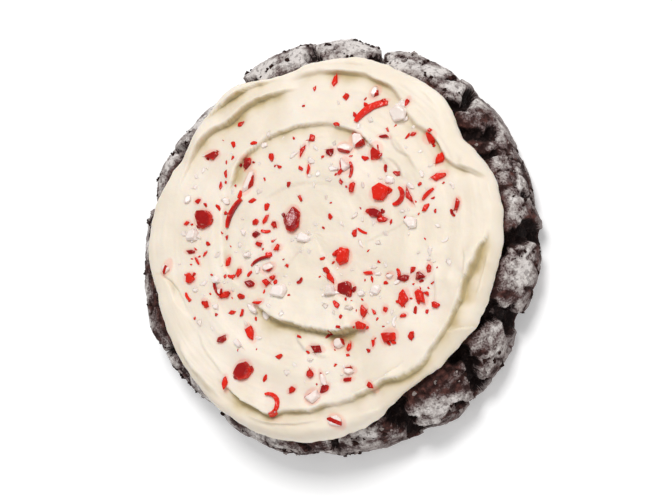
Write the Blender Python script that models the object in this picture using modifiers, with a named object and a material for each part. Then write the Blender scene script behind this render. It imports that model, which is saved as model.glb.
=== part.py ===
"""A frosted chocolate crinkle cookie with crushed peppermint candy, lying flat.

Metres, +Z up. The cookie rests on z = 0 with its outline centred on the origin. Two solids:
the cookie, with the cracks of its shoulder, and the frosting swirled on top of it, with the
larger bits of candy fused to it. Sizes below are in millimetres and angles in degrees from +X.
"""
import math
import random
from collections import namedtuple

import bmesh
import bpy
from mathutils import Matrix, Vector, noise
from mathutils.bvhtree import BVHTree

MM = 0.001

# The cookie's turned section
RIM_RADIUS = 43.0
WIDEST_HEIGHT = 5.5
COOKIE_HEIGHT = 14.6
SHOULDER_REACH = 9.0
FOOT_REACH = 4.5
ROUNDNESS = 2.3
COOKIE_COLUMNS = 180
COOKIE_LIFTS = (-90, -72, -54, -36, -18, 0, 10, 21, 32, 42, 52, 62, 74, 90)

# Radius of the widest line of the cookie and of the frosting's edge, every 15 degrees
RIM_RADII = (43.1, 41.5, 41.5, 41.9, 41.4, 41.1, 42.3, 42.4, 41.8, 41.2, 43.4, 42.8,
             42.8, 44.0, 43.9, 42.3, 43.3, 43.6, 43.1, 42.4, 43.8, 43.7, 42.2, 42.6)
EDGE_RADII = (38.9, 38.0, 35.7, 37.3, 36.9, 37.1, 35.8, 34.7, 37.5, 36.5, 35.7, 37.6,
              38.6, 37.7, 38.4, 40.0, 41.3, 41.9, 41.3, 39.8, 37.4, 38.0, 38.6, 38.6)

# Cracks over the shoulder: angle at the top, how far the line leans by the rim, width, depth,
# and the lifts on the section between which it runs (90 at the top of the shoulder, 0 at the
# widest line, -90 at the foot)
Crack = namedtuple("Crack", "top lean width depth start end")
CRACKS = (
    Crack(354, 4, 4.0, 3.0, 88, -55),
    Crack(330, 5, 4.4, 3.2, 88, -65),
    Crack(319, -3, 3.4, 3.0, 88, -30),
    Crack(306, 3, 1.8, 1.2, 30, -60),
    Crack(291, 4, 4.2, 3.2, 88, -50),
    Crack(275, -4, 1.8, 1.2, 60, 0),
    Crack(260, 4, 1.8, 1.4, 50, -60),
    Crack(236, -5, 2.0, 1.8, 70, -65),
    Crack(213, -5, 2.4, 2.4, 88, -40),
    Crack(191, 3, 1.8, 1.4, 40, -70),
    Crack(170, -5, 2.4, 2.4, 88, -60),
    Crack(147, 4, 2.0, 2.0, 88, -10),
    Crack(133, -4, 1.8, 1.6, 30, -70),
    Crack(116, 5, 2.4, 2.2, 88, -45),
    Crack(93, 2, 2.4, 2.4, 88, -20),
    Crack(69, 6, 3.2, 3.0, 88, -60),
    Crack(53, -3, 1.8, 1.6, 50, -30),
    Crack(40, 3, 2.6, 2.6, 88, -50),
    Crack(31, -2, 2.2, 2.0, 88, 15),
    Crack(22, 2, 1.8, 1.4, 88, 30),
    Crack(11, -4, 1.8, 1.4, 35, -60),
)
CRACK_FADE = 16
CRACK_SWAY = 1.3
DRAW_REACH = 8.0
LEAD_SLOPE = 1.6
DRAW_IN = 0.6
PLATE_PUFF = 0.7
PLATE_REACH = 3.5
ROUGH_HEIGHT = 0.45
ROUGH_SIZE = 6.0
COVER_FADE = 2.5
COVER_SHARE = 0.6
FOOT_LIFT = -78
FOOT_FADE = 40

# The frosting: its gap over the cookie, its edge, and the spread of its top
GAP = 0.3
FROSTING_RADIUS = 38.4
FROSTING_HEIGHT = 18.5
CROWN = 0.7
WAIST_RISE = 1.4
TOP_ROUND = 2.8
UNDER_ROUND = 1.3
FROSTING_COLUMNS = 90
TOP_INSETS = (0.35, 1.1, 2.1, 3.1, 4.1, 5.1, 6.2, 7.5, 9.3, 11.8,
              14.3, 15.9, 17.2, 18.5, 20.0, 22.5, 26.5, 32.0)
UNDER_INSETS = (0.4, 1.3, 3.0, 6.0)
WAVE_HEIGHT = 0.3
WAVE_SIZE = 9.0

# Lips left by the knife: the span of angles, the radius of the lip at even steps along it, the
# step in height, which side is the higher one, 1 outside the lip and -1 inside it, and how deep
# the trough at its foot is as a share of the step
Lip = namedtuple("Lip", "start end radii step side dip")
LIPS = (
    Lip(36, 154, (20.3, 21.4, 22.1, 22.4, 22.8, 21.2), 1.0, 1, 0.6),
    Lip(10, 104, (38.5, 31.7, 31.0, 29.9, 32.4, 33.3, 33.0, 32.9, 32.3), 1.0, 1, 0.6),
    Lip(96, 152, (30.1, 30.6, 30.9, 31.4, 33.0, 32.4), 1.4, 1, 0.6),
    Lip(99, 137, (32.3, 33.7, 34.3, 34.8, 35.6), 1.0, 1, 0.6),
    Lip(232, 337, (35.3, 36.4, 37.3, 35.9, 35.1, 34.6, 33.9, 35.5, 34.8, 34.5, 33.7), 1.1, -1, 0.9),
    Lip(327, 358, (34.5, 33.7, 34.6, 37.0), 1.9, -1, 1.0),
    Lip(224, 302, (18.6, 18.7, 18.6, 19.8, 21.4, 22.4), 1.7, -1, 0.9),
    Lip(150, 216, (21.3, 20.2, 20.0, 18.6), 0.4, 1, 0.45),
    Lip(184, 212, (37.8, 33.6, 32.8, 31.6), 0.5, 1, 0.45),
    Lip(210, 240, (36.4, 37.5, 37.6, 38.8), 0.5, -1, 0.45),
    Lip(22, 52, (24.8, 24.6, 25.2), 0.3, 1, 0.45),
)
LIP_WIDTH = 1.5
LIP_HIGH_REACH = 4.5
LIP_LOW_REACH = 4.0
LIP_FADE = 12

# The larger bits of candy: centre, length, width, and turn from +X
Bit = namedtuple("Bit", "x y length width turn")
LARGE_BITS = (
    Bit(-24.5, 4.5, 4.0, 4.0, -30), Bit(-15.5, -27.0, 4.0, 4.0, 20), Bit(-23.0, 18.0, 3.5, 2.0, 0),
    Bit(-15.0, 15.5, 3.0, 2.0, 95), Bit(-4.5, 3.0, 5.0, 3.5, 85), Bit(14.5, 7.0, 4.0, 3.5, 10),
    Bit(19.0, 6.0, 3.0, 2.5, 40), Bit(13.5, 3.0, 3.5, 2.0, -25), Bit(20.5, 6.0, 4.0, 1.5, 110),
    Bit(6.5, -5.5, 4.0, 3.0, 70), Bit(7.0, -12.0, 4.5, 4.0, 15), Bit(16.5, -22.0, 3.5, 3.0, 30),
    Bit(13.5, 15.5, 3.5, 3.0, 60), Bit(13.0, 23.0, 7.0, 2.5, 28), Bit(25.0, 17.5, 3.0, 2.5, 0),
    Bit(27.0, 13.0, 2.5, 2.0, 45), Bit(27.0, 9.5, 3.5, 2.0, 20), Bit(24.5, 6.0, 3.5, 1.0, 40),
    Bit(30.5, 3.5, 2.5, 2.0, 80), Bit(19.5, -14.5, 3.5, 2.5, 80), Bit(23.0, -14.5, 3.5, 2.5, -60),
    Bit(19.5, -10.5, 3.0, 1.5, 5), Bit(23.0, -10.5, 2.5, 2.0, 20), Bit(10.5, -19.5, 3.0, 2.0, -15),
    Bit(11.0, -16.5, 2.5, 2.0, 85), Bit(0.5, -23.5, 3.5, 2.0, -10), Bit(-14.0, -19.5, 3.5, 2.0, -65),
    Bit(-8.0, -34.0, 3.5, 2.5, 0), Bit(-19.5, -29.5, 3.0, 1.5, 85), Bit(-16.5, 5.0, 5.5, 1.5, 60),
    Bit(4.5, 31.0, 2.5, 1.5, 70), Bit(-2.5, 17.0, 2.5, 1.5, 70), Bit(8.5, 8.5, 2.5, 1.5, 80),
    Bit(-27.5, -7.5, 2.5, 2.0, 0), Bit(-19.5, -11.5, 2.5, 1.5, 20), Bit(-20.0, -20.5, 2.5, 1.5, 25),
    Bit(18.5, 23.0, 4.0, 3.5, 30), Bit(9.5, 18.0, 3.5, 3.0, 0), Bit(5.0, -22.5, 2.5, 2.5, 20),
    Bit(0.0, -33.0, 3.0, 3.0, 45), Bit(-7.0, -11.5, 4.5, 3.0, 80), Bit(21.0, 0.5, 3.5, 2.0, 0),
    Bit(-2.0, -1.0, 3.5, 2.5, 0), Bit(-27.0, 1.0, 3.0, 3.0, 30), Bit(2.0, -30.0, 4.5, 1.5, -70),
    Bit(-14.5, 11.5, 5.0, 2.5, 65), Bit(-33.0, -5.0, 3.5, 2.0, 65), Bit(6.5, 13.5, 3.5, 2.5, 10),
    Bit(-11.0, -6.5, 2.5, 1.5, 15), Bit(13.5, -12.5, 2.5, 2.5, 0), Bit(5.0, -38.0, 2.5, 1.5, -15),
    Bit(-14.0, -9.5, 2.5, 1.5, -20), Bit(-24.0, -13.0, 2.5, 1.5, -50), Bit(13.5, 28.0, 2.5, 2.0, 60),
)
SMALL_BITS = 42
SMALL_LENGTH = (1.2, 2.1)
SMALL_FIELD = 33.0
SMALL_SPACING = 3.0
BIT_FLATNESS = 0.6
BIT_SUNK = 0.3
BIT_JITTER = 0.16
BIT_TILT = 14
SEED = 24


def clear_scene():
    """Remove every object of the scene."""
    for item in list(bpy.data.objects):
        bpy.data.objects.remove(item, do_unlink=True)


def smooth(value):
    """Ease from 0 to 1."""
    value = min(max(value, 0.0), 1.0)
    return value * value * (3 - 2 * value)


def turn_between(angle, start):
    """Signed angle from start to angle, -180 to 180."""
    return (angle - start + 180) % 360 - 180


def read_curve(values, position):
    """Smooth curve through evenly spaced values, read at a position counted in steps."""
    index = min(int(position), len(values) - 2)
    before = values[max(index - 1, 0)]
    left = values[index]
    right = values[index + 1]
    after = values[min(index + 2, len(values) - 1)]
    share = position - index
    slope_left = (right - before) / 2
    slope_right = (after - left) / 2
    bend = 3 * (right - left) - 2 * slope_left - slope_right
    twist = 2 * (left - right) + slope_left + slope_right
    return left + share * (slope_left + share * (bend + share * twist))


def read_ring(values, angle):
    """Radius at an angle, from values evenly spaced round the circle."""
    closed = (values[-1],) + values + values[:2]
    return read_curve(closed, (angle % 360) * len(values) / 360 + 1)


def rim_radius(angle):
    return read_ring(RIM_RADII, angle)


def edge_radius(angle):
    return read_ring(EDGE_RADII, angle)


def section_point(lift):
    """Radius and height of the plain section at a lift from 90 (shoulder) to -90 (foot)."""
    reach = SHOULDER_REACH if lift > 0 else FOOT_REACH
    rise = COOKIE_HEIGHT - WIDEST_HEIGHT if lift > 0 else WIDEST_HEIGHT
    across = max(math.cos(math.radians(lift)), 0.0) ** (2 / ROUNDNESS)
    up = abs(math.sin(math.radians(lift))) ** (2 / ROUNDNESS)
    return RIM_RADIUS - reach * (1 - across), WIDEST_HEIGHT + math.copysign(rise * up, lift)


def section_lift(radius, height):
    """Lift of a point of the plain section."""
    above = height > WIDEST_HEIGHT
    reach = SHOULDER_REACH if above else FOOT_REACH
    rise = COOKIE_HEIGHT - WIDEST_HEIGHT if above else WIDEST_HEIGHT
    across = max(1 - (RIM_RADIUS - radius) / reach, 0.0) ** (ROUNDNESS / 2)
    up = (abs(height - WIDEST_HEIGHT) / rise) ** (ROUNDNESS / 2)
    return math.copysign(math.degrees(math.atan2(up, across)), height - WIDEST_HEIGHT)


def cookie_top(radius, angle):
    """Height of the plain cookie's upper side."""
    inset = RIM_RADIUS * (1 - radius / rim_radius(angle))
    return WIDEST_HEIGHT + (COOKIE_HEIGHT - WIDEST_HEIGHT) * rounding(inset, SHOULDER_REACH)


def rounding(inset, reach):
    """Share of the full height at an inset from an edge that rounds over within a reach."""
    share = min(max(inset / reach, 0.0), 1.0)
    return (1 - (1 - share) ** ROUNDNESS) ** (1 / ROUNDNESS)


def crack_angle(crack, lift):
    """Angle of a crack's line at a lift."""
    sway = CRACK_SWAY * math.sin(math.radians(4 * lift + 3 * crack.top))
    return crack.top + crack.lean * smooth((90 - lift) / 90) + sway


def column_angle(angle, lift):
    """Angle of a column at a lift, led along the cracks beside it and drawn in to their lines."""
    step = 360 / COOKIE_COLUMNS
    moved = angle
    for crack in CRACKS:
        home = step * round(crack.top / step)
        offset = turn_between(angle, home)
        lead_reach = max(DRAW_REACH, LEAD_SLOPE * (abs(crack.lean) + CRACK_SWAY))
        lead = smooth(1 - abs(offset) / lead_reach)
        draw = max(1 - abs(offset) / DRAW_REACH, 0.0) ** 2
        moved += turn_between(crack_angle(crack, lift), home) * lead - DRAW_IN * offset * draw
    return moved


def crust_relief(place, radius, angle, lift):
    """Height of the crust over the plain section: rough plates, puffed up between the cracks."""
    depth = 0.0
    nearest = RIM_RADIUS
    for crack in CRACKS:
        offset = abs(turn_between(angle, crack_angle(crack, lift))) * math.radians(1) * RIM_RADIUS
        length = smooth((lift - crack.end) / CRACK_FADE) * smooth((crack.start - lift) / CRACK_FADE)
        depth = max(depth, crack.depth * length * max(1 - 2 * offset / crack.width, 0.0))
        nearest = min(nearest, offset + PLATE_REACH * (1 - length))
    puff = PLATE_PUFF * (1 - math.exp(-(nearest / PLATE_REACH) ** 2))
    rough = ROUGH_HEIGHT * noise.noise(place / (ROUGH_SIZE * MM))
    uncovered = smooth((radius - edge_radius(angle)) / COVER_FADE + COVER_SHARE)
    above_foot = smooth((lift - FOOT_LIFT) / FOOT_FADE)
    return (puff + rough) * uncovered * above_foot - depth


def turned(name, section, columns):
    """A solid turned from a half section that runs from the axis below to the axis above."""
    mesh = bpy.data.meshes.new(name)
    points = [(radius * MM, 0.0, height * MM) for radius, height in section]
    mesh.from_pydata(points, [(i, i + 1) for i in range(len(points) - 1)], [])
    profile = bpy.data.objects.new(name + " profile", mesh)
    bpy.context.scene.collection.objects.link(profile)
    screw = profile.modifiers.new("Screw", "SCREW")
    screw.axis = "Z"
    screw.angle = math.radians(360)
    screw.steps = columns
    screw.render_steps = columns
    screw.use_normal_flip = True
    screw.use_merge_vertices = True
    screw.merge_threshold = 0.01 * MM
    graph = bpy.context.evaluated_depsgraph_get()
    solid = bpy.data.meshes.new_from_object(profile.evaluated_get(graph))
    bpy.data.objects.remove(profile, do_unlink=True)
    bpy.data.meshes.remove(mesh)
    solid.name = name
    return bpy.data.objects.new(name, solid)


def finish_mesh(bm, mesh):
    """Write a solid back to its mesh, with smooth shading."""
    for face in bm.faces:
        face.smooth = True
    bm.to_mesh(mesh)
    bm.free()


def polar(point):
    """Radius in millimetres and angle in degrees of a point."""
    return math.hypot(point.x, point.y) / MM, math.degrees(math.atan2(point.y, point.x)) % 360


def at_polar(radius, angle, height):
    """Point at a radius, an angle and a height."""
    turn = math.radians(angle)
    return Vector((radius * math.cos(turn), radius * math.sin(turn), height)) * MM


def make_cookie():
    """The cookie: a turned section given its uneven rim, its puffed plates and its cracks."""
    section = [(0.0, 0.0)] + [section_point(lift) for lift in COOKIE_LIFTS] + [(0.0, COOKIE_HEIGHT)]
    cookie = turned("cookie", section, COOKIE_COLUMNS)
    bm = bmesh.new()
    bm.from_mesh(cookie.data)
    crust = []
    for vert in bm.verts:
        radius, angle = polar(vert.co)
        height = vert.co.z / MM
        if radius > RIM_RADIUS / 2 and height > 0.01:
            lift = section_lift(radius, height)
            angle = column_angle(angle, lift)
            crust.append((vert, angle, lift))
        vert.co = at_polar(radius * rim_radius(angle) / RIM_RADIUS, angle, height)
    bm.normal_update()
    for vert, angle, lift in crust:
        relief = crust_relief(vert.co, polar(vert.co)[0], angle, lift)
        vert.co += vert.normal * relief * MM
    finish_mesh(bm, cookie.data)
    return cookie


def lip_height(lip, radius, angle):
    """Height that one lip of the knife adds at a place."""
    span = lip.end - lip.start
    along = (angle - lip.start) % 360
    if along > span:
        return 0.0
    line = read_curve(lip.radii, along / span * (len(lip.radii) - 1))
    strength = lip.step * smooth(along / LIP_FADE) * smooth((span - along) / LIP_FADE)
    over = (radius - line) * lip.side
    high = smooth(over / LIP_WIDTH + 0.5)
    raised = high * math.exp(-max(over, 0.0) / LIP_HIGH_REACH)
    lowered = (1 - high) * math.exp(-max(-over, 0.0) / LIP_LOW_REACH)
    return strength * (raised - lip.dip * lowered)


def frosting_top(radius, angle):
    """Height of the frosting's spread top away from its edge."""
    place = at_polar(radius, angle, 0.0) / (WAVE_SIZE * MM)
    wave = WAVE_HEIGHT * noise.noise(place)
    crown = CROWN * (1 - (radius / FROSTING_RADIUS) ** 2)
    return FROSTING_HEIGHT + crown + wave + sum(lip_height(lip, radius, angle) for lip in LIPS)


def frosting_waist(angle):
    """Height of the outermost line of the frosting's edge."""
    return cookie_top(edge_radius(angle), angle) + GAP + WAIST_RISE


def frosting_surface(radius, angle):
    """Height of the frosting's upper side, its rounded edge included."""
    waist = frosting_waist(angle)
    share = rounding(edge_radius(angle) - radius, TOP_ROUND)
    return waist + (frosting_top(radius, angle) - waist) * share


def frosting_underside(radius, angle):
    """Height of the frosting's underside, clear of the cookie by the gap."""
    waist = frosting_waist(angle)
    share = rounding(edge_radius(angle) - radius, UNDER_ROUND)
    return waist - (waist - cookie_top(radius, angle) - GAP) * share


def make_frosting():
    """The bare frosting: a turned disc whose points go to its edge, its top and its underside."""
    waist = COOKIE_HEIGHT + GAP + WAIST_RISE
    section = [(0.0, COOKIE_HEIGHT)]
    section += [(FROSTING_RADIUS - inset, COOKIE_HEIGHT) for inset in reversed(UNDER_INSETS)]
    section += [(FROSTING_RADIUS, waist)]
    section += [(FROSTING_RADIUS - inset, FROSTING_HEIGHT) for inset in TOP_INSETS]
    section += [(0.0, FROSTING_HEIGHT)]
    frosting = turned("frosting", section, FROSTING_COLUMNS)
    bm = bmesh.new()
    bm.from_mesh(frosting.data)
    for vert in bm.verts:
        nominal, angle = polar(vert.co)
        surface = frosting_surface if vert.co.z / MM > COOKIE_HEIGHT + GAP else frosting_underside
        radius = nominal * edge_radius(angle) / FROSTING_RADIUS
        vert.co = at_polar(radius, angle, surface(radius, angle))
    bmesh.ops.triangulate(bm, faces=bm.faces)
    finish_mesh(bm, frosting.data)
    return frosting


def small_bits(rng):
    """The smaller bits of candy, drawn at random where no other bit lies."""
    placed = [(bit.x, bit.y) for bit in LARGE_BITS]
    bits = []
    while len(bits) < SMALL_BITS:
        radius = SMALL_FIELD * math.sqrt(rng.random())
        turn = rng.uniform(0, 2 * math.pi)
        place = (radius * math.cos(turn), radius * math.sin(turn))
        length = rng.uniform(*SMALL_LENGTH)
        if all(math.dist(place, other) > SMALL_SPACING for other in placed):
            placed.append(place)
            bits.append(Bit(*place, length, length * rng.uniform(0.5, 0.9), rng.uniform(0, 180)))
    return bits


def make_bit(bit, index, surface, rng):
    """One bit of crushed candy: a flat block with chipped corners, sunk in the frosting's surface."""
    bm = bmesh.new()
    bmesh.ops.create_cube(bm, size=1.0)
    thickness = bit.width * BIT_FLATNESS
    for vert in bm.verts:
        chip = Vector([rng.uniform(-BIT_JITTER, BIT_JITTER) for _ in range(3)])
        vert.co = Vector((bit.length, bit.width, thickness)) * MM * (vert.co + chip)
    bmesh.ops.triangulate(bm, faces=bm.faces)
    mesh = bpy.data.meshes.new("candy bit")
    finish_mesh(bm, mesh)
    above = Vector((bit.x, bit.y, 2 * FROSTING_HEIGHT)) * MM
    place = surface.ray_cast(above, Vector((0, 0, -1)))[0]
    place.z += thickness * (0.5 - BIT_SUNK) * MM
    tilt = Matrix.Rotation(math.radians(rng.uniform(-BIT_TILT, BIT_TILT)), 4, "X")
    spin = Matrix.Rotation(math.radians(bit.turn), 4, "Z")
    item = bpy.data.objects.new(f"candy bit {index}", mesh)
    item.matrix_world = Matrix.Translation(place) @ spin @ tilt
    return item


def fuse(body, collection):
    """Join a collection's solids to a body with one Boolean union, then remove them."""
    union = body.modifiers.new("Union", "BOOLEAN")
    union.operation = "UNION"
    union.operand_type = "COLLECTION"
    union.collection = collection
    union.solver = "EXACT"
    graph = bpy.context.evaluated_depsgraph_get()
    fused = bpy.data.meshes.new_from_object(body.evaluated_get(graph))
    body.modifiers.clear()
    bare = body.data
    body.data = fused
    bpy.data.meshes.remove(bare)
    fused.name = body.name
    for item in list(collection.objects):
        bpy.data.objects.remove(item, do_unlink=True)
    bpy.data.collections.remove(collection)


def make_material(name, colour, roughness):
    """A plain Principled material."""
    material = bpy.data.materials.new(name)
    material.use_nodes = True
    shader = material.node_tree.nodes["Principled BSDF"]
    shader.inputs["Base Color"].default_value = (*colour, 1.0)
    shader.inputs["Roughness"].default_value = roughness
    shader.inputs["Metallic"].default_value = 0.0
    return material


def main():
    clear_scene()
    rng = random.Random(SEED)
    whole = bpy.data.collections.new("chocolate crinkle cookie")
    candy = bpy.data.collections.new("candy bits")
    bpy.context.scene.collection.children.link(whole)
    bpy.context.scene.collection.children.link(candy)
    cookie = make_cookie()
    frosting = make_frosting()
    whole.objects.link(cookie)
    whole.objects.link(frosting)
    points = [vert.co for vert in frosting.data.vertices]
    surface = BVHTree.FromPolygons(points, [face.vertices for face in frosting.data.polygons])
    for index, bit in enumerate(list(LARGE_BITS) + small_bits(rng)):
        candy.objects.link(make_bit(bit, index, surface, rng))
    fuse(frosting, candy)
    cookie.data.materials.clear()
    cookie.data.materials.append(make_material("cookie crust", (0.035, 0.014, 0.010), 0.75))
    frosting.data.materials.clear()
    frosting.data.materials.append(make_material("cream frosting", (0.86, 0.80, 0.68), 0.5))


main()
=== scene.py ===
"""Looks of the chocolate crinkle cookie with frosting: crust, sugar, frosting and peppermint candy."""

import math
import random
from collections import namedtuple

import bmesh
import bpy
import numpy as np
from mathutils import Matrix, Vector, noise


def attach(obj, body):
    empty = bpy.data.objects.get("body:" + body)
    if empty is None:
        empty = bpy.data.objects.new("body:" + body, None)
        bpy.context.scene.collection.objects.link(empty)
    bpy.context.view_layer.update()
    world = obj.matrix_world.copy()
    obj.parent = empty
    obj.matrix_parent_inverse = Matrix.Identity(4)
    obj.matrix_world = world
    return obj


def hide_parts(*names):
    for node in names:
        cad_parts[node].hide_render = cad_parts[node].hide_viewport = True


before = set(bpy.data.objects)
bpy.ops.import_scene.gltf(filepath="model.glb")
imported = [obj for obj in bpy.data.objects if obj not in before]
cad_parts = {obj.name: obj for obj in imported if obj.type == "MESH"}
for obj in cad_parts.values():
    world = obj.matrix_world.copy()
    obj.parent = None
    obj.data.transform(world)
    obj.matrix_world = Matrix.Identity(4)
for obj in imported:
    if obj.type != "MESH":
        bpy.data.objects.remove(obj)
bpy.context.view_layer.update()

MM = 0.001

# Layers of noise: height, size of the lumps, and a shift that sets the layer apart from the others
Layer = namedtuple("Layer", "height size shift")

# The cookie's section and outline, in millimetres and degrees from +X, as the solids have them
RIM_RADIUS = 43.0
WIDEST_HEIGHT = 5.5
COOKIE_HEIGHT = 14.6
SHOULDER_REACH = 9.0
FOOT_REACH = 4.5
ROUNDNESS = 2.3
RIM_RADII = (43.1, 41.5, 41.5, 41.9, 41.4, 41.1, 42.3, 42.4, 41.8, 41.2, 43.4, 42.8,
             42.8, 44.0, 43.9, 42.3, 43.3, 43.6, 43.1, 42.4, 43.8, 43.7, 42.2, 42.6)
EDGE_RADII = (38.9, 38.0, 35.7, 37.3, 36.9, 37.1, 35.8, 34.7, 37.5, 36.5, 35.7, 37.6,
              38.6, 37.7, 38.4, 40.0, 41.3, 41.9, 41.3, 39.8, 37.4, 38.0, 38.6, 38.6)

# Cracks over the shoulder: angle at the top, lean by the rim, width, depth, and the lifts on the
# section between which each one runs
Crack = namedtuple("Crack", "top lean width depth start end")
CRACKS = tuple(Crack(*row) for row in (
    (354, 4, 4, 3, 88, -55), (330, 5, 4.4, 3.2, 88, -65), (319, -3, 3.4, 3, 88, -30),
    (306, 3, 1.8, 1.2, 30, -60), (291, 4, 4.2, 3.2, 88, -50), (275, -4, 1.8, 1.2, 60, 0),
    (260, 4, 1.8, 1.4, 50, -60), (236, -5, 2, 1.8, 70, -65), (213, -5, 2.4, 2.4, 88, -40),
    (191, 3, 1.8, 1.4, 40, -70), (170, -5, 2.4, 2.4, 88, -60), (147, 4, 2, 2, 88, -10),
    (133, -4, 1.8, 1.6, 30, -70), (116, 5, 2.4, 2.2, 88, -45), (93, 2, 2.4, 2.4, 88, -20),
    (69, 6, 3.2, 3, 88, -60), (53, -3, 1.8, 1.6, 50, -30), (40, 3, 2.6, 2.6, 88, -50),
    (31, -2, 2.2, 2, 88, 15), (22, 2, 1.8, 1.4, 88, 30), (11, -4, 1.8, 1.4, 35, -60),
))
CRACK_FADE = 16
CRACK_SWAY = 1.3
CRACK_FLARE = 0.5
CRACK_FLARE_LIFT = 30
CRACK_FLARE_FADE = 45
CRACK_RAGGED = (Layer(0.7, 1.9, 5.0), Layer(0.4, 0.8, 9.0))
CRACK_UNEVEN = (Layer(0.8, 2.8, 3.0),)
# Width at a crack's ends, and the shares of its half width for its floor and its side
CRACK_TIP = 0.4
CRACK_FLOOR = 0.65
CRACK_SIDE = 0.55

# Plates between the cracks, smooth under the frosting and at the foot
PLATE_PUFF = 0.7
PLATE_REACH = 3.5
ROUGH_HEIGHT = 0.45
ROUGH_SIZE = 6.0
LUMPS = (Layer(0.2, 1.9, 31.0), Layer(0.16, 0.9, 32.0), Layer(0.1, 0.5, 33.0))
COVER_FADE = 2.5
COVER_SHARE = 0.6
FOOT_LIFT = -78
FOOT_FADE = 40
COOKIE_COLUMNS = 900
COOKIE_RINGS = 84

# Fine crackle along the borders of bent cells, in some places more than in others
CRACKLE_CELL = 5.5
CRACKLE_WIDTH = 0.16
CRACKLE_DEPTH = 0.3
CRACKLE_SHARE = 0.55
CRACKLE_PLACES = (Layer(1.6, 7.0, 21.0),)
CRACKLE_BEND = 1.2
CRACKLE_BEND_SIZE = 4.0
CRACKLE_BEND_SHIFTS = (11.0, 12.0, 13.0)
# Share of hollow given to the crackle lines, which takes sugar off them and paints shade in them, and the
# crack depth that counts as fully hollow
CRACKLE_SHADE = 0.55
HOLLOW_DEPTH = 1.2

# Powdered sugar: the lift where it ends on the shoulder, higher round the snowy angle, its share on
# the wall, and its patches
SNOWY_ANGLE = 105.0
SNOWY_REACH = 90
SUGAR_TOP = 67
SUGAR_TOP_RISE = 20
SUGAR_TOP_REACH = 80
SUGAR_TOP_FADE = 24
SUGAR_WALL_SHARE = 0.7
SUGAR_WALL_LIFT = -5
SUGAR_WALL_FADE = 28
SUGAR_FOOT_LIFT = -88
SUGAR_FOOT_FADE = 30
SUGAR_PATCHES = (Layer(0.9, 4.6, 41.0), Layer(0.54, 1.7, 42.0))
SUGAR_HOLLOW_LOSS = 0.8
WALL_LIFT = 24
WALL_FADE = 30
WALL_EVENNESS = 0.6

# The frosting, as the solids have it, with sharper lips
GAP = 0.3
FROSTING_RADIUS = 38.4
FROSTING_HEIGHT = 18.5
CROWN = 0.7
WAIST_RISE = 1.4
TOP_ROUND = 2.8
UNDER_ROUND = 1.3
WAVE_HEIGHT = 0.3
WAVE_SIZE = 9.0
FROSTING_COLUMNS = 680
TOP_RINGS = 116
EDGE_RINGS = 14
RING_CROWDING = 1.25
UNDER_INSETS = (9.0, 4.0)
EDGE_RAGGED = (Layer(0.3, 3.0, 8.0), Layer(0.15, 1.2, 9.0))
SOFT_LUMPS = (Layer(0.22, 4.5, 15.0), Layer(0.03, 1.3, 16.0))

# Streaks and planes swept round the middle: how far outwards one unit of noise reaches, and the
# radius of a full turn in such units
SWEEP_STEP = 0.9
SWEEP_TURN = 2.5
STREAKS = (Layer(0.07, 1.0, 3.0), Layer(0.03, 0.45, 7.0))
PLANES = (Layer(0.34, 3.4, 17.0),)
PLANES_START = 8

# Lips that the knife left: angles of start and end, radii at even angles between them, step, the
# side that is higher (1 outside, -1 inside), width of the step, raggedness, and dip at its foot
Lip = namedtuple("Lip", "start end radii step side width ragged dip")
LIPS = (
    Lip(36, 154, (20.3, 21.4, 22.1, 22.4, 22.8, 21.2), 1.0, 1, 0.5, 0.4, 0.6),
    Lip(10, 104, (38.5, 31.7, 31.0, 29.9, 32.4, 33.3, 33.0, 32.9, 32.3), 1.0, 1, 0.9, 0.4, 0.6),
    Lip(96, 152, (30.1, 30.6, 30.9, 31.4, 33.0, 32.4), 1.4, 1, 0.45, 0.6, 0.6),
    Lip(99, 137, (32.3, 33.7, 34.3, 34.8, 35.6), 1.0, 1, 0.45, 0.7, 0.6),
    Lip(232, 337, (35.3, 36.4, 37.3, 35.9, 35.1, 34.6, 33.9, 35.5, 34.8, 34.5, 33.7),
        1.1, -1, 0.45, 0.6, 0.9),
    Lip(327, 358, (34.5, 33.7, 34.6, 37.0), 1.9, -1, 0.4, 0.9, 1.0),
    Lip(224, 302, (18.6, 18.7, 18.6, 19.8, 21.4, 22.4), 1.7, -1, 0.6, 0.7, 0.9),
    Lip(150, 216, (21.3, 20.2, 20.0, 18.6), 0.4, 1, 0.8, 0.4, 0.45),
    Lip(184, 212, (37.8, 33.6, 32.8, 31.6), 0.5, 1, 1.0, 0.3, 0.45),
    Lip(210, 240, (36.4, 37.5, 37.6, 38.8), 0.5, -1, 1.0, 0.3, 0.45),
    Lip(22, 52, (24.8, 24.6, 25.2), 0.3, 1, 0.7, 0.3, 0.45),
)
LIP_HIGH_REACH = 4.5
LIP_LOW_REACH = 4.0
PLANE_REACH = 9.0
LIP_FADE = 12
LIP_RAGGED = (Layer(0.6, 4.2, 25.0), Layer(0.35, 1.4, 26.0), Layer(0.12, 0.7, 24.0))
LIP_TORN = (Layer(3.0, 5.5, 27.0),)
LIP_TORN_SHARE = 0.4
LIP_VARIED = (Layer(1.0, 6.5, 28.0), Layer(0.5, 2.6, 29.0))
STEP_VARIED = 0.4
WIDTH_VARIED = 0.6
SHADE_VARIED = 0.5
SHADE_REACH = 0.5
SHADE_SPREAD = 1.9
SHADE_SHARE = 0.62

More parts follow.
